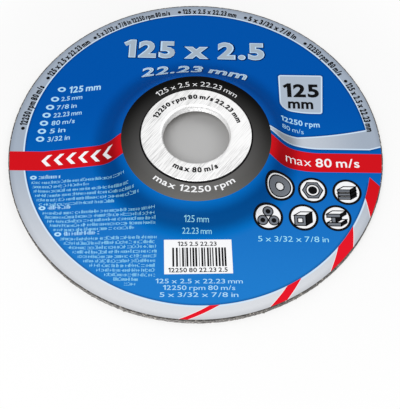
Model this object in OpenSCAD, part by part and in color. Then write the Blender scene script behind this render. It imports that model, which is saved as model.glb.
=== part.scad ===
// Depressed-centre cut-off wheel for an angle grinder.
// A resin-bonded abrasive disc is dished up to a flat hub. A printed paper label is pressed flush into
// the hub side, and a flanged steel ring lines the bore. The wheel lies on its flat annulus, hub up.
// Millimetres. The origin is on the bore axis, in the plane that the flat annulus rests on.

/* [Wheel] */
// Outside diameter of the wheel
wheel_d = 125; // [100:1:230]
// Thickness of the wheel, label included
wheel_t = 2.5; // [1.6:0.1:3.5]

/* [Dished hub] */
// Height of the hub above the flat annulus
hub_rise = 4.6; // [3.5:0.1:6]
// Diameter of the flat seat on both faces of the hub
hub_seat_d = 45; // [40:0.5:52]
// Slope of the ramp between the annulus and the hub
ramp_angle = 35; // [28:1:40]
// Radius of the corner inside the recess, where the ramp meets the hub
shoulder_r = 3.5; // [2:0.1:5]
// Radius of the hollow on the label side, where the ramp meets the annulus
foot_r = 8.75; // [5:0.25:11]

/* [Label] */
// Thickness of the paper
label_t = 0.2; // [0.1:0.05:0.4]
// Width of bare abrasive left around the label
label_margin = 0.4; // [0.2:0.1:3]

/* [Arbor ring] */
// Diameter of the bore that fits the grinder's flange
bore_d = 22.23; // [20:0.01:25.4]
// Outside diameter of the ring's flange
flange_d = 36.6; // [32:0.1:42]
// Thickness of the steel sheet
ring_t = 0.5; // [0.3:0.05:0.8]
// Inside radius of the bend between the flange and the collar
bend_r = 0.6; // [0.5:0.05:1]
// Rounding of the flange's outer edge
flange_edge_r = 0.2; // [0.05:0.05:0.25]
// How far the collar stops short of the hub's underside
collar_setback = 0.2; // [0:0.05:0.6]

/* [Hidden] */
$fn = 180;
// Steps in each bend of the dish
arc_steps = 16;

wheel_r = wheel_d / 2;
label_r = wheel_r - label_margin;
bore_r = bore_d / 2;
flange_r = flange_d / 2;
collar_r = bore_r + ring_t;

// Height of the abrasive's face under the label, above the underside
body_t = wheel_t - label_t;
hub_top = hub_rise + wheel_t;
flange_top = hub_top + ring_t;

// Both faces of the dish turn about one centre at the shoulder and one at the foot,
// so the wall keeps its thickness around the bends.
shoulder_centre = [hub_seat_d / 2, hub_rise - shoulder_r];
bend_span = shoulder_r + wheel_t + foot_r;
ramp_run = (bend_span * (1 - cos(ramp_angle)) + hub_rise * cos(ramp_angle)) / sin(ramp_angle);
foot_centre = [shoulder_centre.x + ramp_run, wheel_t + foot_r];

// Centre of the sheet's bend at the bore
bend_centre = [collar_r + bend_r, flange_top - ring_t - bend_r];

// Unit vector at an angle from +Z, turning outwards
function heading(angle) = [sin(angle), cos(angle)];

// Points of an arc about a centre, from one heading to another
function arc(centre, r, from, to) = [
    for (i = [0 : arc_steps]) centre + r * heading(from + (to - from) * i / arc_steps)
];

// Face of the dish at height d above its underside, from the edge of the hub seat down to the annulus
function ramp_face(d) = concat(
    arc(shoulder_centre, shoulder_r + d, 0, ramp_angle),
    arc(foot_centre, foot_r + wheel_t - d, 180 + ramp_angle, 180)
);

// The same points in the opposite order
function reversed(points) = [for (i = [len(points) - 1 : -1 : 0]) points[i]];

// Rectangle between two opposite corners of the section
module slab(low, high) {
    translate(low) square(high - low);
}

// Moulded abrasive: the dish, a lip around the label, and a bore that clears the ring's bend
module abrasive_disc() {
    chamfer = bend_r - label_t;
    hub_face = hub_rise + body_t;
    color("dimgray") rotate_extrude() polygon(concat(
        [[collar_r, hub_rise]],
        ramp_face(0),
        [[wheel_r, 0], [wheel_r, wheel_t], [label_r, wheel_t], [label_r, body_t]],
        reversed(ramp_face(body_t)),
        [[collar_r + chamfer, hub_face], [collar_r, hub_face - chamfer]]
    ));
}

// Paper label: follows the dish from under the flange out to the lip
module label() {
    color("mediumblue") rotate_extrude() polygon(concat(
        [[bend_centre.x, hub_rise + body_t]],
        ramp_face(body_t),
        [[label_r, body_t], [label_r, wheel_t]],
        reversed(ramp_face(wheel_t)),
        [[bend_centre.x, hub_top]]
    ));
}

// Drawn steel ring: a flange on the label, and a collar that lines the bore
module arbor_ring() {
    edge_centre = [flange_r - flange_edge_r, flange_top - flange_edge_r];
    color("silver") rotate_extrude() {
        // Flange, with its outer edge rounded
        slab([bend_centre.x, hub_top], [edge_centre.x, flange_top]);
        slab([edge_centre.x, hub_top], [flange_r, edge_centre.y]);
        intersection() {
            slab(edge_centre, [flange_r, flange_top]);
            translate(edge_centre) circle(flange_edge_r);
        }
        // Bend
        intersection() {
            slab([bore_r, bend_centre.y], [bend_centre.x, flange_top]);
            translate(bend_centre) difference() {
                circle(bend_r + ring_t);
                circle(bend_r);
            }
        }
        // Collar
        slab([bore_r, hub_rise + collar_setback], [collar_r, bend_centre.y]);
    }
}

abrasive_disc();
label();
arbor_ring();
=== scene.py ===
"""Looks of a depressed-centre cut-off wheel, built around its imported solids.

The label and the arbor ring keep their solids and get a finish. A grained disc stands for the abrasive,
with its woven glass mesh showing underneath. The small print lies on the label and the flange as thin
plates of ink. The layout is in millimetres in the part's own frame: Z is the bore axis, and -Y is towards
the viewer.
"""

import functools
import math

import bmesh
import bpy
import numpy as np
from mathutils import Matrix, Vector


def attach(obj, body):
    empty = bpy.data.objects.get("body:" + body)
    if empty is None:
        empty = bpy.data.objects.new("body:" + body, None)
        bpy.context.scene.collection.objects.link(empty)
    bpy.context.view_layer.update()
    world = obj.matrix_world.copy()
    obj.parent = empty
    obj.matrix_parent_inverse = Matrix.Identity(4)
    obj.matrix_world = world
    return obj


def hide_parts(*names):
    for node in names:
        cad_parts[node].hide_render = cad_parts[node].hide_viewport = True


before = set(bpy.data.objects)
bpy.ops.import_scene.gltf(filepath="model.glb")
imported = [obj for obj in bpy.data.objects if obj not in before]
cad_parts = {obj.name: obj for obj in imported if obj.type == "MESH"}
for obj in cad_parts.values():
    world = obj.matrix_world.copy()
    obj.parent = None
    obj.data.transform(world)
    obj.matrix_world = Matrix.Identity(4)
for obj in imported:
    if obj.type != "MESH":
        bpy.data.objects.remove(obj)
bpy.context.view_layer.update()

MM = 0.001
BODY = "root"


# Faces of the frame

# A normal on an upper or lower face goes up or down by more than this
LEAST_FACING = 0.3


def face_of(node, side):
    """Radii and heights along a node's upper (side 1) or lower (side -1) face, in millimetres."""
    profile = {}
    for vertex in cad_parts[node].data.vertices:
        if vertex.normal.z * side > LEAST_FACING:
            radius = math.hypot(vertex.co.x, vertex.co.y) / MM
            profile[round(radius, 2)] = vertex.co.z / MM
    radii = sorted(profile)
    return np.array(radii), np.array([profile[r] for r in radii])


LABEL_FACE = face_of("label", 1)
LABEL_BACK = face_of("label", -1)
FLANGE_FACE = face_of("arbor_ring", 1)
UNDERSIDE = face_of("abrasive_disc", -1)

WHEEL_R = UNDERSIDE[0][-1]
BORE_WALL_R = UNDERSIDE[0][0]
LABEL_R = LABEL_FACE[0][-1]
LABEL_TOP = LABEL_FACE[1][-1]
FLANGE_R = FLANGE_FACE[0][-1]
FLANGE_TOP = FLANGE_FACE[1].max()


# Colours

def srgb(red, green, blue):
    """A colour given in 8-bit sRGB, as Blender's linear RGBA."""
    def linear(value):
        value /= 255
        return value / 12.92 if value <= 0.04045 else ((value + 0.055) / 1.055) ** 2.4
    return (linear(red), linear(green), linear(blue), 1.0)


# The far and near blues, silvers and reds are painted light: the print is darker away from the viewer and
# lighter towards it
BLUE_FAR = srgb(0, 85, 175)
BLUE_NEAR = srgb(6, 122, 206)
# Blue of the painted shade around the hub's foot
FOOT_SHADE_BLUE = srgb(0, 18, 72)
SILVER_FAR = srgb(166, 178, 194)
SILVER_NEAR = srgb(219, 222, 227)
WEDGE_SILVER = srgb(195, 203, 214)
BOX_GREY = srgb(177, 190, 206)
RED_FAR = srgb(213, 20, 30)
RED_NEAR = srgb(232, 24, 42)
# The black hub ring in lit and shaded copies: painted lighter towards the viewer and painted darker on its
# outer shoulder
HUB_INNER_FAR = srgb(34, 34, 34)
HUB_INNER_NEAR = srgb(120, 119, 118)
HUB_OUTER_FAR = srgb(4, 4, 4)
HUB_OUTER_NEAR = srgb(112, 111, 109)
SHADE = srgb(0, 14, 40)
PAPER_WHITE = srgb(250, 251, 253)
KEYLINE_WHITE = srgb(212, 231, 249)
INK_BLACK = srgb(18, 18, 20)
INK_COLOURS = {
    "white": PAPER_WHITE,
    "black": INK_BLACK,
    "grey": srgb(120, 125, 133),
    "silver": srgb(171, 186, 200),
    "edge": srgb(196, 227, 255),
    "shadow": srgb(0, 36, 90),
    "pale": srgb(178, 224, 252),
    "fine": srgb(166, 234, 255),
}
STEEL_STREAK = srgb(203, 203, 203)
STEEL_BRIGHT = srgb(246, 246, 246)
GRAIN_DARK = srgb(58, 55, 53)
GRAIN_LIGHT = srgb(112, 108, 104)
GRAIN_GLINT = srgb(168, 162, 154)
RESIN_GREY = srgb(74, 71, 69)
YARN_SOAKED = srgb(92, 86, 76)
YARN_DRY = srgb(140, 131, 114)
YARN_GAP = srgb(70, 66, 60)
# Painted shade on the floor under the wheel, seen through the bore
PAINTED_SHADE_GREY = srgb(190, 190, 190)
FLOOR_WHITE = srgb(252, 252, 252)
SKY_WHITE = srgb(255, 255, 255)


# Shader maths

# Width of the soft edge of a mask, like that of ink on paper
SOFT_EDGE = 0.06


class Flow:
    """A socket in a node tree. Arithmetic on it adds Math nodes, and node() adds any other."""

    def __init__(self, tree, socket=None):
        self.tree = tree
        self.socket = socket

    def node(self, kind, settings=None, sockets=None, out=0):
        """Adds a node, sets it, then fills its sockets with values or links. Gives one of its outputs."""
        made = self.tree.nodes.new("ShaderNode" + kind)
        for name, value in (settings or {}).items():
            setattr(made, name, value)
        for name, value in (sockets or {}).items():
            if isinstance(value, Flow):
                self.tree.links.new(value.socket, made.inputs[name])
            else:
                made.inputs[name].default_value = value
        return None if out is None else Flow(self.tree, made.outputs[out])

    def out(self, name):
        """Another output of the same node."""
        return Flow(self.tree, self.socket.node.outputs[name])

    def math(self, operation, *others):
        """A Math node on this value and others."""
        return self.node("Math", {"operation": operation}, dict(enumerate((self, *others))))

    def __rsub__(self, other):
        return self.node("Math", {"operation": "SUBTRACT"}, {0: other, 1: self})

    def __neg__(self):
        return 0 - self

    __sub__ = functools.partialmethod(math, "SUBTRACT")
    __add__ = __radd__ = functools.partialmethod(math, "ADD")
    __mul__ = __rmul__ = functools.partialmethod(math, "MULTIPLY")
    # The lesser value, which is inside both, and the greater one, which is inside either
    __and__ = __rand__ = functools.partialmethod(math, "MINIMUM")
    __or__ = __ror__ = functools.partialmethod(math, "MAXIMUM")
    __abs__ = functools.partialmethod(math, "ABSOLUTE")
    root = functools.partialmethod(math, "SQRT")

    def ramp(self, low, high):
        """Goes smoothly from 0 at low to 1 at high."""
        limits = {"From Min": low, "From Max": high}
        return self.node("MapRange", {"interpolation_type": "SMOOTHSTEP"}, {"Value": self, **limits})

    def from_to(self, start, end):
        """Goes evenly from start to end as this value goes from 0 to 1."""
        return start + self * (end - start)

    def over(self, edge):
        """Mask of where the value is over an edge."""
        return (self - edge).ramp(-SOFT_EDGE / 2, SOFT_EDGE / 2)

    def under(self, edge):
        """Mask of where the value is under an edge."""
        return 1 - self.over(edge)

    def blend(self, first, second):
        """Colour that goes from the first to the second as this value goes from 0 to 1."""
        return self.node("Mix", {"data_type": "RGBA"}, {0: self, 6: first, 7: second}, out=2)

    def dim(self, colour):
        """Colour whose brightness is multiplied by this value."""
        return self.node("HueSaturation", None, {"Value": self, "Color": colour})

    def noise(self, place, scale, detail, spread):
        """Noise between about 0 and 1 at a place, with a number of bumps for each unit of it."""
        sockets = {"Vector": place, "Scale": scale, "Detail": detail, "Roughness": spread}
        return self.node("TexNoise", None, sockets)

    def vector(self, x, y, z):
        return self.node("CombineXYZ", None, {"X": x, "Y": y, "Z": z})

    def bump(self, height, depth):
        """Normal of a surface whose height changes by a depth in millimetres."""
        return self.node("Bump", None, {"Strength": 1.0, "Distance": depth * MM, "Height": height})

    def surface(self, colour, roughness, gloss=0.5, **others):
        """A surface, with other sockets by their names."""
        sockets = {"Base Color": colour, "Roughness": roughness, "Specular IOR Level": gloss, **others}
        return self.node("BsdfPrincipled", None, sockets)


def place_mm(flow):
    """Object coordinates in millimetres."""
    split = flow.node("SeparateXYZ", None, {0: flow.node("TexCoord", out="Object")})
    return tuple(split.out(axis) * (1 / MM) for axis in "XYZ")


def distance(x, y):
    """Distance from the origin in a plane."""
    return (x * x + y * y).root()


def new_material(name, fill):
    """A material whose surface is what fill() returns for its node tree."""
    material = bpy.data.materials.new(name)
    material.use_nodes = True
    material.node_tree.nodes.clear()
    flow = Flow(material.node_tree)
    flow.node("OutputMaterial", None, {"Surface": fill(flow)}, out=None)
    return material


# Fields of colour on the label

# Radii of the printed rings
HUB_RING_R = 24.9
RIM_BAND_R = 57.74
# Heights on the label between which a colour goes from its far tone to its near one: painted light, darker
# away from the viewer and lighter towards it
BLUE_TURNS = (20.0, -60.0)
SILVER_TURNS = (0.0, -60.0)
RED_TURNS = (-15.0, -40.0)
# Middle of a red band, and half its width
LEFT_BAND = (-8.4, 3.7)
RIGHT_BAND = (-7.5, 3.66)
# How the press drew the print up to the hub on each side: radius from which it rises evenly, how fast,
# radius from which it rises ever faster, how fast
LEFT_DRAW = (51.0, 0.14, 33.0, 0.016)
RIGHT_DRAW = (42.0, 0.0, 42.0, 0.0153)
# The draw is stronger farther away, by a share for each millimetre over a level
DRAW_LEVEL = -7.0
DRAW_FAN = 0.012
# The printed rim is a little off the axis and a little skew
RIM_OFF = 0.5
RIM_SKEW = 0.006
# Silver wedge over the right band: width of the blue line below it and how that widens across the rim,
# place of the kink in its upper edge, slope inside the kink, slope and its growth outside
WEDGE_GAP = 1.55
WEDGE_LIFT = 0.3
WEDGE_KINK = (34.3, 2.5)
WEDGE_SLOPES = (0.21, 0.048, 0.0041)
# Radii between which the wedge gets lighter towards the hub
WEDGE_LIGHT = (58.0, 38.0)
# Slanted stripes on the rim: clockwise degrees of both edges at an inner radius and at the label's edge
STRIPE_R = 57.4
STRIPES = (
    ((12.1, 19.0), (15.2, 26.6)), ((30.0, 38.4), (37.9, 48.4)),
    ((54.6, 59.7), (63.6, 68.8)), ((81.3, 84.6), (91.6, 94.0)),
)
# Box: middle, half its size, lean of its right side, its corners and the wider one near the hub
BOX_MIDDLE = (36.6, 20.9)
BOX_HALF = (7.6, 8.45)
BOX_LEAN = 0.04
BOX_CORNERS = (0.9, 4.0)
# White line around the light fields, dark outline around that and its depth, white line beside a stripe
KEYLINE = 0.5
OUTLINE = 0.9
OUTLINE_DEPTH = 0.42
STRIPE_LINE = 0.3
# Silver darker towards the label's edge
DULL_FROM = 60.4
DULL_DEPTH = 0.16
# Shade around the hub's foot: radii over which it starts and ends, heights over which it deepens, depths
SHADE_STARTS = (24.6, 29.0)
SHADE_ENDS = (31.0, 36.6)
SHADE_TURNS = (8.0, -14.0)
SHADE_DEPTHS = (0.37, 0.56)
# How much of that shade the silver and the ink take
SHADE_ON_SILVER = 1.25
SHADE_ON_INK = 0.4
# Painted sheen, a painted highlight on the flat blue paper near the viewer: radii over which it starts,
# heights over which it comes, strength
SHEEN_STARTS = (35.0, 39.0)
SHEEN_TURNS = (0.0, -50.0)
SHEEN = 0.013
# Painted shadow of the flange: a black line around it on the label
FLANGE_SHADOW_LINE = 0.55
# Gloss of the paper and its ink
PRINT_GLOSS = 0.015
# Noise, as bumps a millimetre, detail and spread, and what it varies: the paper's mottle and fibres
PAPER_MOTTLE = (1.3, 4.0, 0.6)
PAPER_BRIGHTNESS = (0.97, 1.03)
PAPER_ROUGHNESS = (0.38, 0.5)
PAPER_FIBRE = (9.0, 3.0, 0.7)
FIBRE_DEPTH = 0.006
# The same for ink
INK_MOTTLE = (2.2, 3.0, 0.5)
INK_BRIGHTNESS = (0.96, 1.04)
INK_ROUGHNESS = (0.38, 0.52)


def drawn_up(radius, y, draw):
    """How far the print is drawn up at a place, as a socket."""
    start, slope, foot, growth = draw
    even = (start - radius) | 0.0
    steep = (foot - radius) | 0.0
    return (even * slope + steep * steep * growth) * (1 + (y - DRAW_LEVEL) * DRAW_FAN)


def in_band(radius, y, band, draw):
    """Distance of a point inside a red band's edges, and over its upper edge."""
    middle, half = band
    off = y - drawn_up(radius, y, draw) - middle
    return half - abs(off), off - half


def in_wedge(x, y, over_gap):
    """Distance of a point inside the silver wedge."""
    kink_x, kink_y = WEDGE_KINK
    inner, outer, growth = WEDGE_SLOPES
    beyond = (x - kink_x) | 0.0
    before = (kink_x - x) | 0.0
    top = kink_y + before * inner + beyond * outer + beyond * beyond * growth
    return over_gap & (top - y) & x


def in_stripes(clockwise, radius, y, past_rim):
    """Distance of a point inside the slanted stripes. At the rim a degree is about a millimetre."""
    across_rim = (radius - STRIPE_R) * (1 / (LABEL_R - STRIPE_R))
    stripes = None
    for (start, end), (outer_start, outer_end) in STRIPES:
        after = clockwise - start - across_rim * (outer_start - start)
        until = end - clockwise + across_rim * (outer_end - end)
        stripe = after & until
        stripes = stripe if stripes is None else stripes | stripe
    return stripes & past_rim & -y


def in_box(x, y):
    """Distance of a point inside the box."""
    lean = (y - BOX_MIDDLE[1]) * BOX_LEAN
    near_hub = x.under(BOX_MIDDLE[0]) & y.under(BOX_MIDDLE[1])
    corner = near_hub.from_to(*BOX_CORNERS)
    off_x = abs(x - lean - BOX_MIDDLE[0]) - lean - BOX_HALF[0] + corner
    off_y = abs(y - BOX_MIDDLE[1]) - BOX_HALF[1] + corner
    return corner - ((off_x | off_y) & 0.0) - distance(off_x | 0.0, off_y | 0.0)


def hub_ring(radius, y):
    """Colour of the black ring around the flange, painted lighter towards the viewer and darker outwards as
    light and shade.
    """
    toward = (HUB_RING_R - y) * (0.5 / HUB_RING_R)
    inner = (toward * toward).blend(HUB_INNER_FAR, HUB_INNER_NEAR)
    outer = (toward * toward * toward).blend(HUB_OUTER_FAR, HUB_OUTER_NEAR)
    colour = radius.ramp(FLANGE_R, HUB_RING_R).blend(inner, outer)
    return radius.under(FLANGE_R + FLANGE_SHADOW_LINE).blend(colour, INK_BLACK)


def foot_shade(radius, y):
    """Share of shade around the hub's foot."""
    foot = radius.ramp(*SHADE_STARTS) & (1 - radius.ramp(*SHADE_ENDS))
    return foot * y.ramp(*SHADE_TURNS).from_to(*SHADE_DEPTHS)


def printed_paper(flow):
    """The label's paper with its fields of colour from the blue ground up, and its painted light and shade.
    """
    x, y, z = place_mm(flow)
    radius = distance(x, y)
    clockwise = (-y).math("ARCTAN2", x) * math.degrees(1)
    past_rim = distance(x - RIM_OFF + y * RIM_SKEW, y + x * RIM_SKEW) - RIM_BAND_R

    left_band, _ = in_band(radius, y, LEFT_BAND, LEFT_DRAW)
    right_band, over_right = in_band(radius, y, RIGHT_BAND, RIGHT_DRAW)
    bands = (left_band & -x) | (right_band & x)
    over_gap = over_right - WEDGE_GAP - (past_rim | 0.0) * WEDGE_LIFT
    wedge = in_wedge(x, y, over_gap)
    first_stripe = sum(STRIPES[0][0]) / 2
    rim = past_rim & (over_gap | (clockwise - first_stripe) | -x)
    stripes = in_stripes(clockwise, radius, y, past_rim)
    box = in_box(x, y - drawn_up(radius, y, RIGHT_DRAW))
    silver_field = rim | wedge
    light_field = silver_field | box

    shade = foot_shade(radius, y)
    light = 1 - shade
    sheen = (radius.ramp(*SHEEN_STARTS) & y.ramp(*SHEEN_TURNS)) * SHEEN
    colour = sheen.blend(y.ramp(*BLUE_TURNS).blend(BLUE_FAR, BLUE_NEAR), PAPER_WHITE)
    colour = shade.blend(colour, FOOT_SHADE_BLUE)
    silver = y.ramp(*SILVER_TURNS).blend(SILVER_FAR, SILVER_NEAR)
    silver = radius.ramp(*WEDGE_LIGHT).blend(silver, WEDGE_SILVER)
    silver = (radius.ramp(DULL_FROM, LABEL_R) * DULL_DEPTH).blend(silver, SHADE)
    red = y.ramp(*RED_TURNS).blend(RED_FAR, RED_NEAR)
    colour = (light_field.ramp(-OUTLINE, 0.0) * OUTLINE_DEPTH).blend(colour, SHADE)
    colour = light_field.over(0.0).blend(colour, light.dim(KEYLINE_WHITE))
    colour = silver_field.over(KEYLINE).blend(colour, (1 - shade * SHADE_ON_SILVER).dim(silver))
    colour = box.over(KEYLINE).blend(colour, BOX_GREY)
    colour = (stripes.over(-STRIPE_LINE) & rim.over(KEYLINE)).blend(colour, PAPER_WHITE)
    colour = (bands | stripes).over(0.0).blend(colour, light.dim(red))
    colour = radius.under(HUB_RING_R).blend(colour, hub_ring(radius, y))

    place = flow.vector(x, y, z)
    mottle = flow.noise(place, *PAPER_MOTTLE)
    colour = mottle.from_to(*PAPER_BRIGHTNESS).dim(colour)
    normal = flow.bump(flow.noise(place, *PAPER_FIBRE), FIBRE_DEPTH)
    return flow.surface(colour, mottle.from_to(*PAPER_ROUGHNESS), PRINT_GLOSS, Normal=normal)


def ink(colour):
    """Printing ink of one colour, a little uneven, and darkened by the painted shade around the hub's foot.
    """
    def fill(flow):
        x, y, z = place_mm(flow)
        mottle = flow.noise(flow.vector(x, y, z), *INK_MOTTLE)
        shade = foot_shade(distance(x, y), y) * SHADE_ON_INK
        uneven = (mottle.from_to(*INK_BRIGHTNESS) - shade).dim(colour)
        return flow.surface(uneven, mottle.from_to(*INK_ROUGHNESS), PRINT_GLOSS)
    return fill


# Steel, abrasive and glass

# Brushing: direction, scale along and across it, noise, what of that is bright, depth, and roughness
STREAK_TURN = math.radians(54)
STREAK_SCALES = (0.16, 3.6)
STREAK_NOISE = (1.0, 2.0, 0.6)
STREAK_BRIGHT = (0.34, 0.6)
STREAK_DEPTH = 0.01
STEEL_ROUGHNESS = (0.42, 0.3)
# Wear and painted shade bring out the brushing, darker to the left and near the viewer: noise of the wear,
# fall of the painted shade to the right and to the back, what of both brings it out, how much of it shows
# anyway
WEAR_NOISE = (0.11, 1.0, 0.5)
PAINTED_SHADE_FALL = (0.009, 0.006)
BRUSHING_SHOWS = (0.36, 0.6)
LEAST_STREAK = 0.3
# From the bright flange to the dull collar: heights of the turn, how metallic and how much rougher it gets
COLLAR_TURNS = (FLANGE_TOP - 0.3, FLANGE_TOP - 0.8)
COLLAR_METAL = 0.15
COLLAR_ROUGHER = 0.2
# Grains a millimetre, what of their tones is light and what glints, their roughness and depth
GRAIN_SCALE = 1.9
GRAIN_TONES = (0.1, 0.95)
GLINT_FROM = 0.93
GRAIN_ROUGHNESS = (0.8, 0.55)
GRAIN_DEPTH = 0.12
# Resin over the grains: its noise, what of it covers them, and its height beside theirs
RESIN_NOISE = (3.0, 4.0, 0.6)
RESIN_COVERS = (0.42, 0.7)
RESIN_HEIGHT = 0.4
# Yarn: noise of its strands, what of it is a gap, its depth and roughness, and how dry the yarn is
STRAND_NOISE = (4.0, 4.0, 0.7)
STRAND_GAPS = (0.45, 0.75)
STRAND_DEPTH = 0.06
YARN_ROUGHNESS = (0.5, 0.7)
DRY_NOISE = (0.35, 3.0, 0.5)
DRY_TURNS = (0.35, 0.7)


def brushed_steel(flow):
    """Steel with straight brushing, painted shade to the left and near the viewer, and a duller collar in the
    bore.
    """
    x, y, z = place_mm(flow)
    along = x * math.cos(STREAK_TURN) + y * math.sin(STREAK_TURN)
    across = y * math.cos(STREAK_TURN) - x * math.sin(STREAK_TURN)
    streaks = flow.vector(along * STREAK_SCALES[0], across * STREAK_SCALES[1], z)
    fine = flow.noise(streaks, *STREAK_NOISE)
    wear_and_shade = flow.noise(flow.vector(x, y, z), *WEAR_NOISE) - x * PAINTED_SHADE_FALL[0] - y * PAINTED_SHADE_FALL[1]
    tone = 1 - (1 - fine.ramp(*STREAK_BRIGHT)) * wear_and_shade.ramp(*BRUSHING_SHOWS).from_to(LEAST_STREAK, 1.0)
    collar = z.ramp(*COLLAR_TURNS)
    colour = tone.blend(STEEL_STREAK, STEEL_BRIGHT)
    roughness = tone.from_to(*STEEL_ROUGHNESS) + collar * COLLAR_ROUGHER
    metallic = collar.from_to(1.0, COLLAR_METAL)
    return flow.surface(colour, roughness, Metallic=metallic, Normal=flow.bump(fine, STREAK_DEPTH))


def bonded_grain(flow):
    """Abrasive grains in resin, with a few that glint."""
    place = flow.vector(*place_mm(flow))
    cells = flow.node("TexVoronoi", None, {"Vector": place, "Scale": GRAIN_SCALE})
    pick = flow.node("SeparateColor", None, {0: cells.out("Color")})
    grain = pick.out("Red").ramp(*GRAIN_TONES)
    resin = flow.noise(place, *RESIN_NOISE)
    colour = grain.blend(GRAIN_DARK, GRAIN_LIGHT)
    colour = resin.ramp(*RESIN_COVERS).blend(colour, RESIN_GREY)
    colour = pick.out("Green").over(GLINT_FROM).blend(colour, GRAIN_GLINT)
    height = 1 - cells.out("Distance") + resin * RESIN_HEIGHT
    return flow.surface(colour, grain.from_to(*GRAIN_ROUGHNESS), Normal=flow.bump(height, GRAIN_DEPTH))


def glass_yarn(flow):
    """Glass yarn, soaked with resin in places."""
    place = flow.vector(*place_mm(flow))
    strands = flow.noise(place, *STRAND_NOISE)
    dry = flow.noise(place, *DRY_NOISE).ramp(*DRY_TURNS)
    colour = strands.ramp(*STRAND_GAPS).blend(dry.blend(YARN_SOAKED, YARN_DRY), YARN_GAP)
    return flow.surface(colour, strands.from_to(*YARN_ROUGHNESS), Normal=flow.bump(strands, STRAND_DEPTH))


# Meshes

def new_object(name, data):
    """An object in the scene."""
    made = bpy.data.objects.new(name, data)
    bpy.context.scene.collection.objects.link(made)
    return made


def new_shape(name, points, faces, material, smooth=False):
    """An object made of points in millimetres."""
    mesh = bpy.data.meshes.new(name)
    mesh.from_pydata((np.asarray(points) * MM).tolist(), [], faces)
    mesh.materials.append(material)
    mesh.polygons.foreach_set("use_smooth", [smooth] * len(mesh.polygons))
    mesh.update()
    return new_object(name, mesh)


def new_piece(name, points, faces, material, slot, smooth=False):
    """A shape that moves with the wheel."""
    piece = new_shape(name, points, faces, material, smooth)
    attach(piece, BODY)
    return piece


def taken(mesh):
    """Corners and faces of a bmesh, which is then freed."""
    mesh.verts.index_update()
    corners = np.array([v.co for v in mesh.verts])
    faces = [tuple(v.index for v in f.verts) for f in mesh.faces]
    mesh.free()
    return corners, faces


def turns(count):
    """Angles of a number of points around a circle."""
    return np.linspace(0, 2 * math.pi, count, endpoint=False)


def lattice(rng, count):
    """Random values on a square lattice, as a function of two coordinates in lattice steps."""
    values = rng.random((count, count))

    def at(u, v):
        low_u, low_v = np.floor(u).astype(int), np.floor(v).astype(int)
        total = 0.0
        for i, share_u in ((low_u, low_u + 1 - u), (low_u + 1, u - low_u)):
            for j, share_v in ((low_v, low_v + 1 - v), (low_v + 1, v - low_v)):
                total = total + share_u * share_v * values[i % count, j % count]
        return total
    return at


# Abrasive disc

SEGMENTS = 640
RING_STEP = 0.6
RIM_STEPS = 7
# Grains: seed and count of the lattice they are drawn from, and their size
GRAIN_SEED = 125
GRAIN_LATTICE = 512
GRAIN_SIZE = 0.45
# How far the underside is sunk between the yarns of the mesh, and how rough it and the rim are
MESH_RECESS = 0.11
UNDER_GRAIN = 0.07
RIM_GRAIN = 0.16


def abrasive_disc():
    """A rough disc in place of the abrasive's solid, made of rings around the axis."""
    grains = lattice(np.random.default_rng(GRAIN_SEED), GRAIN_LATTICE)
    under_r = np.linspace(BORE_WALL_R, WHEEL_R, int((WHEEL_R - BORE_WALL_R) / RING_STEP))
    under_z = np.interp(under_r, *UNDERSIDE)
    rim_z = np.linspace(0, LABEL_TOP, RIM_STEPS + 1)[1:]
    back_r, back_z = LABEL_BACK[0][::-1], LABEL_BACK[1][::-1]
    chamfer = back_r[-1] - BORE_WALL_R

    radii = np.concatenate([under_r, np.full(RIM_STEPS, WHEEL_R), [LABEL_R], back_r, [BORE_WALL_R]])
    heights = np.concatenate([under_z, rim_z, [LABEL_TOP], back_z, [back_z[-1] - chamfer]])
    turn = turns(SEGMENTS)
    r = np.repeat(radii[:, None], SEGMENTS, 1)
    z = np.repeat(heights[:, None], SEGMENTS, 1)

    under = slice(0, len(under_r))
    rim = slice(len(under_r) - 1, len(under_r) + RIM_STEPS)
    under_x = r[under] * np.cos(turn) / GRAIN_SIZE
    under_y = r[under] * np.sin(turn) / GRAIN_SIZE
    z[under] += MESH_RECESS + UNDER_GRAIN * (grains(under_x, under_y) - 0.5)
    along_rim = np.repeat(turn[None, :] * WHEEL_R / GRAIN_SIZE, RIM_STEPS + 1, 0)
    r[rim] -= RIM_GRAIN * grains(along_rim, z[rim] / GRAIN_SIZE) ** 2

    points = np.stack([r * np.cos(turn), r * np.sin(turn), z], -1).reshape(-1, 3)
    rings = len(radii)
    faces = []
    for i in range(rings):
        row, above = i * SEGMENTS, (i + 1) % rings * SEGMENTS
        for j in range(SEGMENTS):
            beside = (j + 1) % SEGMENTS
            faces.append((row + j, row + beside, above + beside, above + j))
    material = new_material("bonded_grain", bonded_grain)
    piece = new_piece("grained_disc", points, faces, material, "abrasive", smooth=True)
    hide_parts("abrasive_disc")


# Glass mesh: flat wefts one way, pairs of thin warps the other way, over and under each other

MESH_PITCH = 4.5
MESH_MARGIN = 0.35
WEFT_WIDTH = 1.2
WARP_WIDTH = 0.62
WARP_APART = 0.44
# Length of a step along a yarn
YARN_STEP = 0.9
# Heights of a yarn's middle, wave, crown and back over the wheel's underside
YARN_MIDDLE = 0.07
YARN_WAVE = 0.05
YARN_CROWN = 0.1
YARN_BACK = 0.26
# Section of the crown, in shares of the yarn's width and of the crown's height
YARN_SECTION = ((-0.5, 1.0), (-0.28, 0.3), (0.0, 0.0), (0.28, 0.3), (0.5, 1.0))


def yarn_spans(offset):
    """Stretches of a yarn at an offset from the axis, clear of the bore and the rim."""
    outer = math.sqrt((WHEEL_R - MESH_MARGIN) ** 2 - offset ** 2)
    inner_r = BORE_WALL_R + MESH_MARGIN
    if abs(offset) >= inner_r:
        return [(-outer, outer)]
    inner = math.sqrt(inner_r ** 2 - offset ** 2)
    return [(-outer, -inner), (inner, outer)]


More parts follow.
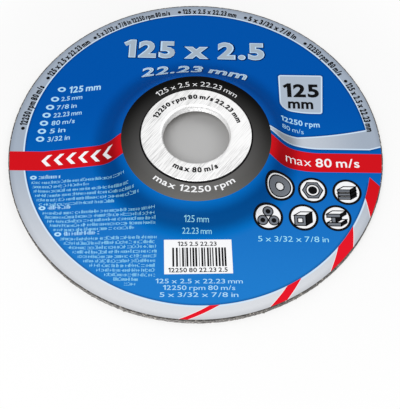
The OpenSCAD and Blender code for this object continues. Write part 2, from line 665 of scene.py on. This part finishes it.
def add_yarn(points, faces, offset, width, phase, crosswise):
    """Adds a yarn as a low tube, crowned towards the underside."""
    for start, end in yarn_spans(offset):
        along = np.linspace(start, end, int((end - start) / YARN_STEP))
        wave = YARN_MIDDLE - YARN_WAVE * np.cos(math.pi * along / MESH_PITCH + phase)
        first, first_face = len(points), len(faces)
        for s, middle in zip(along, wave):
            crown = [(side, middle + drop * YARN_CROWN) for side, drop in YARN_SECTION]
            for side, rise in (*crown, (0.5, YARN_BACK), (-0.5, YARN_BACK)):
                u = offset + side * width
                points.append((s, u, np.interp(math.hypot(s, u), *UNDERSIDE) + rise))
        count = len(YARN_SECTION) + 2
        last = first + (len(along) - 1) * count
        for row in range(first, last, count):
            for j in range(count):
                a, b = row + j, row + (j + 1) % count
                faces.append((a, b, b + count, a + count))
        faces.append(tuple(range(first + count - 1, first - 1, -1)))
        faces.append(tuple(range(last, last + count)))
        if crosswise:
            points[first:] = [(u, s, height) for s, u, height in points[first:]]
            faces[first_face:] = [face[::-1] for face in faces[first_face:]]


def glass_mesh():
    """The woven mesh that shows on the underside."""
    points, faces = [], []
    count = int(WHEEL_R / MESH_PITCH)
    for i in range(-count, count + 1):
        offset = i * MESH_PITCH
        add_yarn(points, faces, offset, WEFT_WIDTH, i * math.pi, crosswise=False)
        for side in (-WARP_APART, WARP_APART):
            add_yarn(points, faces, offset + side, WARP_WIDTH, (i + 1) * math.pi, crosswise=True)
    new_piece("glass_mesh", points, faces, new_material("glass_yarn", glass_yarn), "abrasive", smooth=True)


# Layouts of the small print

def straight(x, y, degrees=0.0, scale=1.0):
    """Places a layout with its origin at a point, turned by an angle and scaled."""
    c, s = scale * math.cos(math.radians(degrees)), scale * math.sin(math.radians(degrees))
    return lambda u, v: (x + u * c - v * s, y + u * s + v * c)


def around(radius, degrees, tops_in=False, middle=(0.0, 0.0)):
    """Bends a layout around a middle from an angle on, with its tops outwards, or inwards."""
    def place(u, v):
        way = 1 if tops_in else -1
        turn = math.radians(degrees) + way * u / radius
        r = radius - v * way
        return middle[0] + r * np.cos(turn), middle[1] + r * np.sin(turn)
    return place


def shifted(place, along, up):
    """A layout moved along itself."""
    return lambda u, v: place(u + along, v + up)


def pressed(place, draw):
    """A layout that was drawn up towards the hub with the paper."""
    start, slope, foot, growth = draw

    def drawn(u, v):
        x, y = place(u, v)
        radius = np.hypot(x, y)
        rise = slope * np.clip(start - radius, 0.0, None) + growth * np.clip(foot - radius, 0.0, None) ** 2
        return x, y + rise * (1 + (y - DRAW_LEVEL) * DRAW_FAN)
    return drawn


def between(corners, half):
    """Stretches a layout of a half size between four corners, from the lower left one anticlockwise."""
    low_left, low_right, high_right, high_left = (np.array(corner)[:, None] for corner in corners)

    def place(u, v):
        s, t = (u / half[0] + 1) / 2, (v / half[1] + 1) / 2
        low = low_left * (1 - s) + low_right * s
        high = high_left * (1 - s) + high_right * s
        return low * (1 - t) + high * t
    return place


# Outlines and figures

# Blender's own font, in shares of its size: cap height, gap between characters, and space
CAP_HEIGHT = 0.73
LETTER_GAP = 0.075
SPACE_WIDTH = 0.2
# Corners of a one with a flag, in the same shares, and how they move with its weight
ONE_CORNERS = ((0.17, 0.0), (0.27, 0.0), (0.27, 0.73), (0.2, 0.73), (0.0, 0.58), (0.05, 0.48), (0.17, 0.56))
ONE_MOVES = ((0.0, -1.0), (2.0, -1.0), (2.0, 1.0), (0.0, 1.0), (0.0, 1.0), (0.5, 0.0), (0.0, 0.0))
# Steps along a curve of a figure, fewer in a heavy one, so that its outline doesn't fold over itself
CURVE_STEPS = 4
HEAVY_CURVE_STEPS = 3
HEAVY_WEIGHT = 0.04
# Corners of a figure that are closer than this are one
MERGE_DISTANCE = 0.0005


def circle(x, y, radius, points=32):
    """Outline of a circle, or of a polygon with few points."""
    return [(x + radius * math.cos(t), y + radius * math.sin(t)) for t in turns(points)]


def oblong(low, high):
    """Outline of an oblong from its lower left corner to its upper right one."""
    (x0, y0), (x1, y1) = low, high
    return [(x0, y0), (x1, y0), (x1, y1), (x0, y1)]


def grown(outline, margin):
    """An outline, anticlockwise, moved outwards by a margin."""
    points = np.array(outline)
    along = np.roll(points, -1, 0) - points
    along /= np.linalg.norm(along, axis=1)[:, None]
    outward = np.stack([along[:, 1], -along[:, 0]], -1)
    before = np.roll(outward, 1, 0)
    return points + margin * (outward + before) / (1 + (outward * before).sum(1))[:, None]


def prism(outline):
    """Corners and faces of a plate one unit thick, with its outline anticlockwise."""
    n = len(outline)
    corners = [(u, v, z) for z in (0.5, -0.5) for u, v in outline]
    sides = [(k + n, (k + 1) % n + n, (k + 1) % n, k) for k in range(n)]
    return np.array(corners), [tuple(range(n)), tuple(range(2 * n - 1, n - 1, -1)), *sides]


@functools.lru_cache(None)
def figure(character, weight):
    """Corners and faces of a character, thickened, with its left side at zero. A one has a flag."""
    if character == "1":
        return prism(np.array(ONE_CORNERS) + weight * np.array(ONE_MOVES))
    curve = bpy.data.curves.new("figure", "FONT")
    curve.body = character
    curve.extrude = 0.5
    curve.offset = weight
    curve.resolution_u = CURVE_STEPS if weight < HEAVY_WEIGHT else HEAVY_CURVE_STEPS
    carrier = new_object("figure", curve)
    bpy.context.view_layer.update()
    made = bpy.data.meshes.new_from_object(carrier.evaluated_get(bpy.context.evaluated_depsgraph_get()))
    mesh = bmesh.new()
    mesh.from_mesh(made)
    bmesh.ops.remove_doubles(mesh, verts=mesh.verts[:], dist=MERGE_DISTANCE)
    corners, faces = taken(mesh)
    bpy.data.objects.remove(carrier)
    bpy.data.curves.remove(curve)
    bpy.data.meshes.remove(made)
    corners[:, 0] -= corners[:, 0].min()
    return corners, faces


# Ink

# How far ink stands over its face, how much more on each layer, and how far it goes into the face
INK_LIFT = 0.015
INK_LAYER = 0.006
INK_SINK = 0.03
# The label is curved where it is higher than its rim, and a little beyond. Long edges are split there.
CURVED_FROM = LABEL_TOP + 0.001
CURVED_MARGIN = 1.0
CURVED_R = LABEL_FACE[0][LABEL_FACE[1] > CURVED_FROM].max() + CURVED_MARGIN
LONGEST_EDGE = 0.45
MOST_SPLITS = 5
# Small marks: their kinds, and in shares of a row's height their widths, heights, strokes and gaps
MARK_KINDS = ("stems", "stems", "stems", "arm_right", "arm_left", "bars")
MARK_WIDTHS = (0.3, 0.48)
MARK_HEIGHTS = (0.74, 0.74, 0.74, 1.0)
MARK_STROKE = 0.11
MARK_GAP = 0.14
# Gap between groups of marks, and how many a group has, up to under the second number
GROUP_GAP = 0.3
GROUP_MARKS = (2, 11)


def split_curved(mesh):
    """Splits the long edges on the curved part of the label."""
    for _ in range(MOST_SPLITS):
        long_edges = [e for e in mesh.edges if e.calc_length() > LONGEST_EDGE
                      and min(v.co.xy.length for v in e.verts) < CURVED_R]
        if not long_edges:
            return
        bmesh.ops.subdivide_edges(mesh, edges=long_edges, cuts=1)
        bmesh.ops.triangulate(mesh, faces=mesh.faces[:])


class Ink:
    """Thin closed plates of one colour, printed on a face of the frame."""

    def __init__(self, name, material, face=LABEL_FACE, slot="label"):
        self.name, self.material, self.face, self.slot = name, material, face, slot
        self.points, self.faces = [], []

    def add(self, corners, faces, place, level):
        """Adds a plate that goes from inside the face up to a layer."""
        first = len(self.points)
        x, y = place(corners[:, 0], corners[:, 1])
        lift = np.where(corners[:, 2] > 0, INK_LIFT + level * INK_LAYER, -INK_SINK)
        self.points.extend(zip(x, y, lift))
        self.faces.extend(tuple(first + k for k in face) for face in faces)

    def plate(self, outline, place, level=0):
        self.add(*prism(outline), place, level)

    def ring(self, inner, outer, squash, points, place, level=0):
        corners = [(r * math.cos(t), r * squash * math.sin(t), z)
                   for z in (0.5, -0.5) for r in (outer, inner) for t in turns(points)]
        faces = []
        for k in range(points):
            n = (k + 1) % points
            out_top, in_top, out_low, in_low = ((k + i * points, n + i * points) for i in range(4))
            sides = ((out_top, in_top), (in_low, out_low), (out_low, out_top), (in_top, in_low))
            faces.extend((a, b, d, c) for (a, b), (c, d) in sides)
        self.add(np.array(corners), faces, place, level)

    def text(self, words, height, weight, length, place, level=0, lean=0.0, edge=0.0):
        """Adds figures of a cap height, centred, as long as said. An edge thickens them where they are."""
        row = []
        pen = 0.0
        for character in words:
            if character == " ":
                pen += SPACE_WIDTH
                continue
            corners, faces = figure(character, weight + edge)
            corners = corners + [pen - edge, 0.0, 0.0]
            pen = corners[:, 0].max() - edge + LETTER_GAP
            row.append((corners, faces))
        width = pen - LETTER_GAP
        scale = height / CAP_HEIGHT
        for corners, faces in row:
            corners[:, 0] = (corners[:, 0] - width / 2) * (length / width) + lean * corners[:, 1] * scale
            corners[:, 1] *= scale
            self.add(corners, faces, place, level)

    def mark(self, u, width, height, stroke, kind, place):
        """Adds one small mark of thin strokes: stems, a stem with an arm, or bars."""
        end, middle = u + width, (height - stroke) / 2
        left, right = ((u, 0.0), (u + stroke, height)), ((end - stroke, 0.0), (end, height))
        strokes = {
            "stems": (left, right),
            "arm_right": (left, ((u + stroke, middle), (end, middle + stroke))),
            "arm_left": (right, ((u, middle), (end - stroke, middle + stroke))),
            "bars": (((u, 0.0), (end, stroke)), ((u, height - stroke), (end, height))),
        }
        for low, high in strokes[kind]:
            self.plate(oblong(low, high), place)

    def marks(self, length, height, place, rng, stroke=MARK_STROKE):
        """Adds a row of marks in groups the size of words, from the layout's origin to a length."""
        u = 0.0
        while True:
            for _ in range(rng.integers(*GROUP_MARKS)):
                width = height * rng.uniform(*MARK_WIDTHS)
                tall = height * rng.choice(MARK_HEIGHTS)
                kind = rng.choice(MARK_KINDS)
                if u + width > length:
                    return
                self.mark(u, width, tall, height * stroke, kind, place)
                u += width + height * MARK_GAP
            u += height * GROUP_GAP

    def piece(self):
        """Makes the plates one piece, bent to the face they lie on."""
        mesh = bmesh.new()
        corners = [mesh.verts.new(p) for p in self.points]
        for face in self.faces:
            mesh.faces.new([corners[k] for k in face])
        mesh.normal_update()
        bmesh.ops.triangulate(mesh, faces=mesh.faces[:])
        if self.face is LABEL_FACE:
            split_curved(mesh)
        points, faces = taken(mesh)
        points[:, 2] += np.interp(np.hypot(points[:, 0], points[:, 1]), *self.face)
        new_piece(self.name, points, faces, self.material, self.slot)


# Sizes

SIZE_MM = "125 x 2.5 x 22.23 mm"
SIZE_INCH = "5 x 3/32 x 7/8 in"
SPEED = "12250 rpm 80 m/s"
# Titles over the hub: words, height, weight, length, lean, width of the pale edge, and place
TITLES = (
    ("125 x 2.5", 7.4, 0.056, 51.6, 0.0, 0.03, straight(-1.3, 36.9, -0.5)),
    ("22.23 mm", 3.9, 0.028, 37.2, 0.25, 0.048, around(90.1, 88.6, middle=(-3.5, -61.0))),
)
# Width of the dark shadow around a title, and its shift
TITLE_SHADOW = 0.028
TITLE_SHIFT = (0.15, -0.12)
# Sizes in and under the box, on the hub ring and flange, in the right band and around the white panel: ink,
# words, height, weight, length and place
SIZES = (
    ("black", "125", 5.6, 0.036, 12.7, straight(36.7, 19.8)),
    ("black", "mm", 4.3, 0.032, 8.8, straight(36.2, 14.7, -1.5)),
    ("pale", "12250 rpm", 2.3, 0.02, 13.2, pressed(straight(35.6, 6.8), RIGHT_DRAW)),
    ("pale", "80 m/s", 2.0, -0.005, 7.2, pressed(straight(32.9, 3.3), RIGHT_DRAW)),
    ("white", SIZE_MM, 2.1, -0.01, 28.4, around(20.1, 90.0)),
    ("white", "max 12250 rpm", 2.3, 0.014, 28.3, around(22.0, -91.6, tops_in=True)),
    ("flange", "max 80 m/s", 1.9, 0.044, 15.6, around(14.95, -90.7, tops_in=True)),
    ("flange", SPEED + " 22.23 mm", 1.7, 0.054, 34.6, around(14.35, 87.2)),
    ("white", "max", 3.4, -0.008, 8.4, pressed(straight(34.0, -9.2), RIGHT_DRAW)),
    ("white", "80 m/s", 3.4, 0.012, 14.5, straight(46.9, -9.2)),
    ("fine", "125 mm", 2.0, -0.002, 7.8, straight(0.4, -30.5)),
    ("fine", "22.23 mm", 2.2, -0.002, 9.2, straight(0.6, -34.3)),
    ("fine", SIZE_INCH, 2.0, -0.006, 22.0, straight(30.6, -36.6)),
    ("pale", SIZE_MM, 1.5, 0.002, 26.2, straight(1.45, -50.75, 0.7)),
    ("pale", SPEED, 1.5, 0.002, 21.6, straight(1.45, -52.85, 0.7)),
    ("pale", SIZE_INCH, 1.5, 0.002, 23.4, straight(1.45, -55.05, 0.7)),
)
# Chevrons in the left band: outline and places
CHEVRON = ((0.0, 0.0), (1.9, -2.1), (3.3, -2.1), (1.4, 0.0), (3.3, 2.1), (1.9, 2.1))
CHEVRON_PLACES = (-51.0, -47.0, -43.0, -39.0, -35.0, -31.0)


def print_sizes(inks):
    """The titles in silver with an edge and a shadow, the plain sizes, and the chevrons."""
    for *form, lean, edge, place in TITLES:
        inks["shadow"].text(*form, shifted(place, *TITLE_SHIFT), 0, lean, TITLE_SHADOW)
        inks["edge"].text(*form, place, 1, lean)
        inks["silver"].text(*form, place, 2, lean, -edge)
    for name, *form in SIZES:
        inks[name].text(*form)
    for x in CHEVRON_PLACES:
        inks["white"].plate(CHEVRON, pressed(straight(x, LEFT_BAND[0]), LEFT_DRAW))


# List, paragraphs and words on the rim

ROWS_SEED = 22
# Left list: words, place of the oval, start and length of the words
LIST_ROWS = (
    ("125 mm", (-47.5, 21.4), (-44.9, 19.5), 11.0),
    ("2.5 mm", (-49.4, 17.1), (-47.2, 16.1), 7.2),
    ("7/8 in", (-50.7, 13.6), (-48.4, 12.4), 6.8),
    ("22.23 mm", (-51.5, 10.2), (-49.1, 9.05), 9.5),
    ("80 m/s", (-52.0, 6.85), (-49.4, 5.75), 7.8),
    ("5 in", (-52.3, 3.5), (-49.6, 2.45), 5.2),
    ("3/32 in", (-52.5, 0.3), (-50.0, -0.9), 7.4),
)
# Height and weight of the first row and of the others
LIST_FIRST = (2.95, 0.026)
LIST_OTHERS = (1.95, 0.01)
# Ovals before the rows and the paragraphs: inner and outer radius, squash, and points
LIST_OVAL = (0.7, 1.42, 0.74, 28)
PARAGRAPH_OVAL = (0.45, 1.1, 0.66, 20)
# Paragraphs: place of the oval, end of the heading, height of the first and the last row at their left end,
# and the right end of each row
PARAGRAPHS = (
    ((-52.8, -14.8), -43.5, (-17.1, -25.1), (-22.9, -34.5, -20.9, -19.5, -18.0, -26.0)),
    ((-48.6, -26.0), -38.5, (-28.2, -34.0), (-12.8, -12.8, -12.4, -12.2, -19.0)),
    ((-42.6, -35.1), -29.5, (-37.1, -51.7), (-11.7,) * 9 + (-16.4, -17.2)),
)
# Radius at which the rows start, and their height
PARAGRAPH_R = 55.8
ROW_HEIGHT = 1.05
# A heading's start beside the oval's middle, its slope in degrees, its height and its stroke
HEADING_START = (1.8, -0.5)
HEADING_SLOPE = 4.0
HEADING_HEIGHT = 1.4
HEADING_STROKE = 0.14
# Words on the rim: clockwise start and end in degrees
RIM_WORDS = (
    (SPEED, 175.8, 157.6),
    (SIZE_MM, 153.8, 132.6),
    (SIZE_INCH + " " + SPEED, 130.0, 100.5),
    (SIZE_MM, 97.0, 75.9),
    (SIZE_INCH, 72.5, 52.1),
    (SPEED, 48.1, 29.9),
    (SIZE_MM, 26.8, 4.8),
)
# Radius and middle of the line they stand on, their height and weight
RIM_WORDS_R = 58.25
RIM_WORDS_MIDDLE = (0.2, 0.3)
RIM_WORDS_FORM = (2.3, 0.05)
# Dot before the words on the rim, and how much of their length it takes
RIM_DOT = circle(0.0, 0.95, 0.64, 16)
RIM_DOT_LENGTH = 1.2


def print_rows(inks, rng):
    """The list, the paragraphs of small marks and the words on the rim."""
    pale, fine, black = inks["pale"], inks["fine"], inks["black"]
    for number, (words, oval, (x, y), length) in enumerate(LIST_ROWS):
        pale.ring(*LIST_OVAL, straight(*oval))
        form = LIST_OTHERS if number else LIST_FIRST
        pale.text(words, *form, length, pressed(straight(x + length / 2, y), LEFT_DRAW))
    for (x, y), end, (first_y, last_y), ends in PARAGRAPHS:
        pale.ring(*PARAGRAPH_OVAL, straight(x, y))
        start = x + HEADING_START[0]
        heading = straight(start, y + HEADING_START[1], HEADING_SLOPE)
        pale.marks(end - start, HEADING_HEIGHT, heading, rng, HEADING_STROKE)
        for level, right in zip(np.linspace(first_y, last_y, len(ends)), ends):
            start = -math.sqrt(PARAGRAPH_R ** 2 - level ** 2)
            fine.marks(right - start, ROW_HEIGHT, pressed(straight(start, level), LEFT_DRAW), rng)
    for words, start, end in RIM_WORDS:
        black.plate(RIM_DOT, around(RIM_WORDS_R, start, middle=RIM_WORDS_MIDDLE))
        length = math.radians(start - end) * RIM_WORDS_R - RIM_DOT_LENGTH
        halfway = (start + end - math.degrees(RIM_DOT_LENGTH / RIM_WORDS_R)) / 2
        place = around(RIM_WORDS_R, halfway, middle=RIM_WORDS_MIDDLE)
        black.text(words, *RIM_WORDS_FORM, length, place)


# White panel

BARS_SEED = 13
# Half the panel's size in its own layout, and its corners from the lower left one anticlockwise
PANEL_HALF = (10.4, 5.7)
PANEL_CORNERS = ((-9.1, -48.0), (11.7, -47.4), (11.3, -36.1), (-9.6, -36.5))
# Bars: start of the first, end of the last, their feet and tops, their widths and gaps
BARS_SPAN = (-7.9, 9.0)
BAR_ENDS = (-3.3, 3.0)
BAR_WIDTHS = (0.2, 0.38, 0.58)
BAR_GAPS = (0.26, 0.38, 0.54)
# Rows of sizes over and under the bars: words, height, weight, length and place
PANEL_ROWS = (
    ("125 2.5 22.23", 1.45, 0.02, 12.0, (-0.2, 3.6)),
    ("12250 80 22.23 2.5", 1.45, 0.02, 18.0, (-0.2, -5.1)),
)


def print_bars(inks, rng):
    """White panel under the hub, with plain upright bars between two rows of sizes."""
    panel = between(PANEL_CORNERS, PANEL_HALF)
    half_x, half_y = PANEL_HALF
    inks["white"].plate(oblong((-half_x, -half_y), PANEL_HALF), panel)
    foot, top = BAR_ENDS
    u, end = BARS_SPAN
    while u < end:
        width = rng.choice(BAR_WIDTHS)
        inks["black"].plate(oblong((u, foot), (u + width, top)), panel, level=1)
        u += width + rng.choice(BAR_GAPS)
    for *form, place in PANEL_ROWS:
        inks["black"].text(*form, shifted(panel, *place), level=1)


# Round signs with pictures of a disc, a nut and bar stock

SIGN_R = 4.75
SIGN_LINE = 0.8
SIGN_POINTS = 48
PICTURE_LINE = 0.36
# The signs are drawn less than the fields around them
SIGN_DRAW = (42.0, 0.0, 42.0, 0.006)
# How far the back of a bar is to the right and up, in shares of its depth
BACK_RIGHT = 0.8
BACK_UP = 0.5
# Places of the tubes in a picture
TUBES = ((-1.75, -1.3), (1.75, -1.3), (0.0, 1.75))


def rounds(colour, radius, places=((0.0, 0.0),), points=32):
    """A layer of round faces of one colour."""
    return [(colour, circle(x, y, radius, points)) for x, y in places]


def block(x, y, width, height, depth):
    """Faces of a bar from its front corner, seen from the upper right: top, side and front."""
    back_x, back_y = depth * BACK_RIGHT, depth * BACK_UP
    right, top = x + width, y + height
    return [
        ("white", [(x, top), (right, top), (right + back_x, top + back_y), (x + back_x, top + back_y)]),
        ("black", [(right, y), (right + back_x, y + back_y), (right + back_x, top + back_y), (right, top)]),
        ("grey", oblong((x, y), (right, top))),
    ]


# Each sign's place and scale, and the layers of its picture
SIGNS = (
    ((27.3, -17.4), 1.045, [rounds("grey", 3.4), rounds("white", 1.3)]),
    ((37.9, -18.1), 1.0, [rounds("grey", 3.3, points=6), rounds("white", 2.1), rounds("black", 1.3)]),
    ((49.0, -18.6), 1.0, [block(-3.0, y, 4.0, 0.9, 2.4) for y in (-2.7, -1.4, -0.1)]),
    ((23.1, -28.0), 1.0, [rounds("grey", 1.6, TUBES), rounds("black", 0.62, TUBES)]),
    ((34.3, -28.0), 1.0, [block(-2.9, -2.9, 3.6, 3.6, 2.5), [("white", oblong((-1.9, -1.9), (-0.3, -0.3)))]]),
    ((44.85, -28.1), 0.98, [block(-3.2, -2.9, 4.4, 1.2, 2.4), block(-1.7, -1.7, 1.3, 1.9, 2.4),
                            block(-3.2, 0.2, 4.4, 1.2, 2.4)]),
)


def print_signs(inks):
    """White discs with a black outline, each with a picture whose faces have black outlines too."""
    for middle, scale, layers in SIGNS:
        place = pressed(straight(*middle, scale=scale), SIGN_DRAW)
        inks["white"].plate(circle(0.0, 0.0, SIGN_R - SIGN_LINE / 2, SIGN_POINTS), place)
        inks["black"].ring(SIGN_R - SIGN_LINE, SIGN_R, 1.0, SIGN_POINTS, place, level=1)
        for number, faces in enumerate(layers):
            for colour, outline in faces:
                inks["black"].plate(grown(outline, PICTURE_LINE / 2), place, level=2 * number + 1)
                if colour != "black":
                    inks[colour].plate(grown(outline, -PICTURE_LINE / 2), place, level=2 * number + 2)


def print_small():
    """All of the small print, one piece for each ink and one for the flange."""
    inks = {}
    for name, colour in INK_COLOURS.items():
        inks[name] = Ink(name + "_print", new_material(name + "_ink", ink(colour)))
    inks["flange"] = Ink("flange_print", inks["black"].material, FLANGE_FACE, "steel")
    print_sizes(inks)
    print_rows(inks, np.random.default_rng(ROWS_SEED))
    print_bars(inks, np.random.default_rng(BARS_SEED))
    print_signs(inks)
    for plates in inks.values():
        plates.piece()


def finish_solids():
    """Gives the solids that stay their materials."""
    paper = new_material("printed_paper", printed_paper)
    steel = new_material("brushed_steel", brushed_steel)
    for node, material in (("label", paper), ("arbor_ring", steel)):
        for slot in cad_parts[node].material_slots:
            slot.material = material


# Stage

FLOOR_SIZE = 3000.0
# The floor is painted grey under the wheel as shade, mostly a white glow beside it, and all white farther
# away
PAINTED_SHADE_TURNS = (20.0, 40.0)
GLOW_TURNS = (40.0, 62.0)
WHITE_TURNS = (66.0, 125.0)
GLOW = 0.6
# Share of the sky's white that lights the wheel
SKY_LIGHT = 0.5
# Lamps: name, place, size, and the share of full light that each adds
LAMPS = (
    ("key", (-120, -240, 420), 240, 0.36),
    ("fill", (240, 60, 400), 300, 0.14),
    ("under", (-80, -220, -380), 260, 0.7),
)


def seen_rays(flow):
    """Rays that show a surface: from the camera, off gloss or through glass."""
    ray = flow.node("LightPath", out="Is Camera Ray")
    return ray | ray.out("Is Glossy Ray") | ray.out("Is Transmission Ray")


def floor_sheet(flow):
    """White floor that keeps the wheel's shadow, painted grey under the wheel as shade, and can be seen
    through from below.
    """
    x, y, _ = place_mm(flow)
    radius = distance(x, y)
    colour = radius.ramp(*PAINTED_SHADE_TURNS).blend(PAINTED_SHADE_GREY, FLOOR_WHITE)
    sheet = flow.node("BsdfDiffuse", None, {"Color": colour})
    glow = flow.node("Emission", None, {"Strength": 1.0})
    glow_share = radius.ramp(*GLOW_TURNS) * GLOW + radius.ramp(*WHITE_TURNS) * (1 - GLOW)
    lit = flow.node("MixShader", None, {0: seen_rays(flow) * glow_share, 1: sheet, 2: glow})
    open_side = flow.node("NewGeometry", out="Backfacing") | flow.node("LightPath", out="Is Shadow Ray")
    return flow.node("MixShader", None, {0: open_side, 1: lit, 2: flow.node("BsdfTransparent")})


def stage():
    """The floor, and a white sky around it."""
    half = FLOOR_SIZE / 2
    corners = [(x, y, 0.0) for x, y in oblong((-half, -half), (half, half))]
    floor = new_shape("floor", corners, [(0, 1, 2, 3)], new_material("floor_sheet", floor_sheet))

    world = bpy.data.worlds.new("studio")
    world.use_nodes = True
    world.node_tree.nodes.clear()
    flow = Flow(world.node_tree)
    strength = seen_rays(flow).from_to(SKY_LIGHT, 1.0)
    sky = flow.node("Background", None, {"Color": SKY_WHITE, "Strength": strength})
    flow.node("OutputWorld", None, {"Surface": sky}, out=None)
    bpy.context.scene.world = world


def lamp(name, place, size, share):
    """A soft square lamp aimed at the origin, which adds a share of full light there."""
    data = bpy.data.lights.new(name, "AREA")
    data.size = size * MM
    made = new_object(name, data)
    made.location = Vector(place) * MM
    made.rotation_euler = made.location.to_track_quat("Z", "Y").to_euler()
    level = abs(made.location.normalized().z)
    data.energy = share * math.pi ** 2 * made.location.length_squared / level


# Camera at the photograph's place

# Distance from the label's middle, and angles in degrees
CAMERA_DISTANCE = 220.8
CAMERA_RISE = 56.0
CAMERA_PITCH = 61.45
CAMERA_YAW = 0.85
CAMERA_ROLL = 1.52
# Focal length and long side of the picture in pixels, and the sensor's width
FOCAL_PX = 653.0
LONG_SIDE_PX = 409
SENSOR_MM = 36.0
# Nearest and farthest that it shows, in metres
CLIP = (0.01, 20.0)


def camera():
    """The camera, which looks down on the wheel from -Y."""
    data = bpy.data.cameras.new("camera")
    data.sensor_width = SENSOR_MM
    data.lens = FOCAL_PX * SENSOR_MM / LONG_SIDE_PX
    data.clip_start, data.clip_end = CLIP
    made = new_object("camera", data)
    rise = math.radians(CAMERA_RISE)
    height = LABEL_TOP + CAMERA_DISTANCE * math.sin(rise)
    place = (0.0, -CAMERA_DISTANCE * math.cos(rise) * MM, height * MM)
    turn = Matrix.Rotation(-math.radians(CAMERA_YAW), 4, "Z")
    tip = Matrix.Rotation(math.radians(90 - CAMERA_PITCH), 4, "X")
    roll = Matrix.Rotation(math.radians(CAMERA_ROLL), 4, "Z")
    made.matrix_world = Matrix.Translation(place) @ turn @ tip @ roll
    bpy.context.scene.camera = made


finish_solids()
abrasive_disc()
glass_mesh()
print_small()
stage()
for settings in LAMPS:
    lamp(*settings)
camera()
bpy.context.scene.view_settings.view_transform = "Standard"
